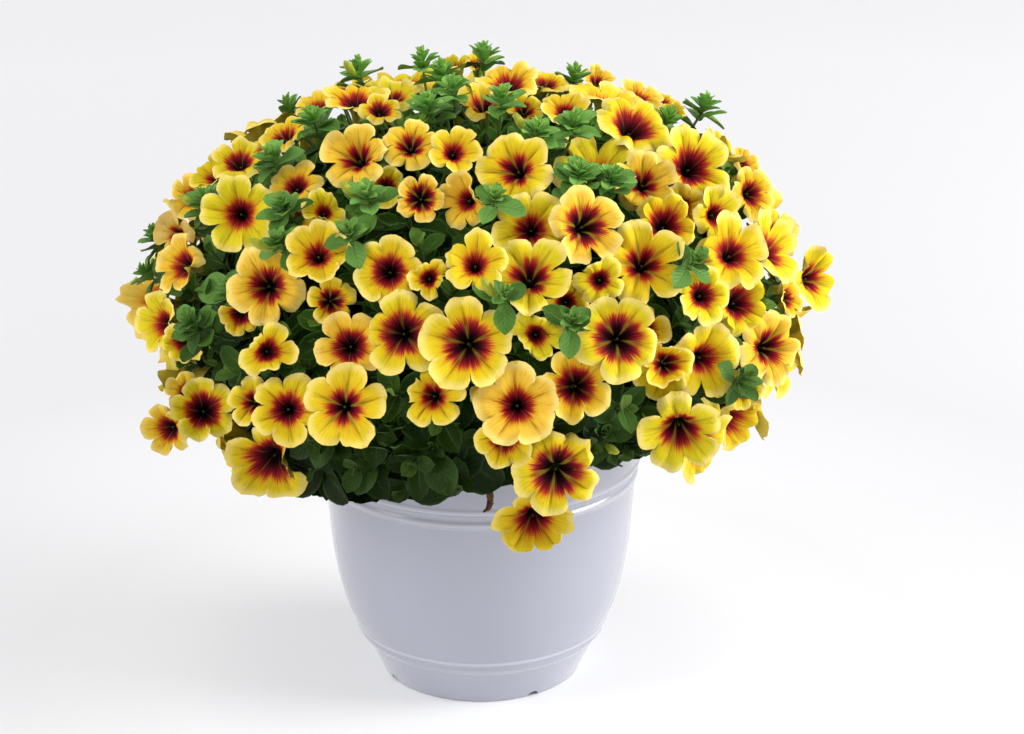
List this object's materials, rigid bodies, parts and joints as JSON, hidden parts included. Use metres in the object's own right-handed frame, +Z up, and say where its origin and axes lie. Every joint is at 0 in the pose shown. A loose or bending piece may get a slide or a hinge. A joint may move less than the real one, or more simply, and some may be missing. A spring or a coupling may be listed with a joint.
{
  "type": "potted petunia",
  "caption": "Round potted plant: a dome of yellow trumpet blooms with dark red throats and green leaves over a smooth grey plastic pot.",
  "frame": {"origin": "centre of the pot's foot ring, on the surface that the pot stands on", "axes": "+Z up along the pot's axis; -Y is the side seen in the picture; +X is to the right of that view"},
  "size_m": [0.4447, 0.4109, 0.3971],
  "materials": {
    "pot_plastic": "smooth, semi-gloss, cool light grey",
    "potting_mix": "moist crumbly peat and bark",
    "leaf": "soft matt green leaf with a pale midrib and fine hairs",
    "wilted_petal": "dry brown and shrivelled",
    "petal": "soft matt golden yellow petal with a dark red throat"
  },
  "bodies": {
    "root": {"pot": "pot_plastic", "soil": "potting_mix", "foliage": "leaf", "wilted_bloom": "wilted_petal", "bloom_spray_01": "petal", "bloom_spray_02": "petal", "bloom_spray_03": "petal", "bloom_spray_04": "petal", "bloom_spray_05": "petal", "bloom_spray_06": "petal", "bloom_spray_07": "petal", "bloom_spray_08": "petal", "bloom_spray_09": "petal", "bloom_spray_10": "petal", "bloom_spray_11": "petal", "bloom_spray_12": "petal", "bloom_spray_13": "petal", "bloom_spray_14": "petal", "bloom_spray_15": "petal", "bloom_spray_16": "petal", "bloom_spray_17": "petal", "bloom_spray_18": "petal", "bloom_spray_19": "petal", "bloom_spray_20": "petal", "bloom_spray_21": "petal", "bloom_spray_22": "petal", "bloom_spray_23": "petal", "bloom_spray_24": "petal", "bloom_spray_25": "petal", "bloom_spray_26": "petal", "bloom_spray_27": "petal", "bloom_spray_28": "petal", "bloom_spray_29": "petal", "bloom_spray_30": "petal", "bloom_spray_31": "petal", "bloom_spray_32": "petal", "bloom_spray_33": "petal", "bloom_spray_34": "petal", "bloom_spray_35": "petal", "bloom_spray_36": "petal", "bloom_spray_37": "petal", "bloom_spray_38": "petal", "bloom_spray_39": "petal", "bloom_spray_40": "petal", "bloom_spray_41": "petal", "bloom_spray_42": "petal", "bloom_spray_43": "petal", "bloom_spray_44": "petal", "bloom_spray_45": "petal", "bloom_spray_46": "petal", "bloom_spray_47": "petal", "bloom_spray_48": "petal", "bloom_spray_49": "petal", "bloom_spray_50": "petal", "bloom_spray_51": "petal", "bloom_spray_52": "petal", "bloom_spray_53": "petal", "bloom_spray_54": "petal", "bloom_spray_55": "petal"}
  },
  "joints": []
}
